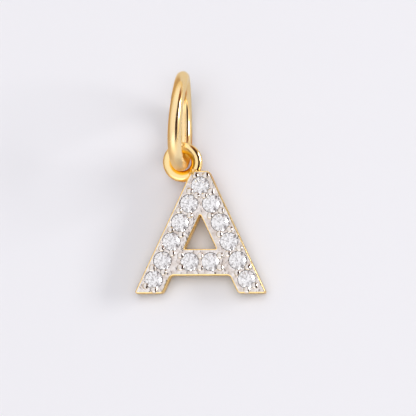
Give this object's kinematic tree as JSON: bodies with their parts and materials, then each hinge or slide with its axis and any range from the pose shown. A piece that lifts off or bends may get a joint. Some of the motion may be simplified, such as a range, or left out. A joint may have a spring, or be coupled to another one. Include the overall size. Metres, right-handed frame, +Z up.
{
  "type": "initial pendant",
  "caption": "Letter A pendant with round stones set in a flat plated letter, a small soldered ring at its top corner and a larger wire ring for a chain.",
  "frame": {"origin": "on the surface it lies on, under the middle of its bounding box", "axes": "+Z up off the surface, +Y up the letter and along the whole, +X to the right as the letter is read"},
  "size_m": [0.0104, 0.0176, 0.008],
  "materials": {
    "letter_metal": "polished silver, rhodium white on the face and yellow gold plated on the sides and the small ring",
    "gold_wire": "polished yellow gold plate",
    "clear_stone": "clear faceted stone"
  },
  "bodies": {
    "root": {"letter": "letter_metal", "bail_ring": "gold_wire", "stone_top": "clear_stone", "stone_left_1": "clear_stone", "stone_left_2": "clear_stone", "stone_left_3": "clear_stone", "stone_left_4": "clear_stone", "stone_left_5": "clear_stone", "stone_right_1": "clear_stone", "stone_right_2": "clear_stone", "stone_right_3": "clear_stone", "stone_right_4": "clear_stone", "stone_right_5": "clear_stone", "stone_bar_1": "clear_stone", "stone_bar_2": "clear_stone"}
  },
  "joints": []
}
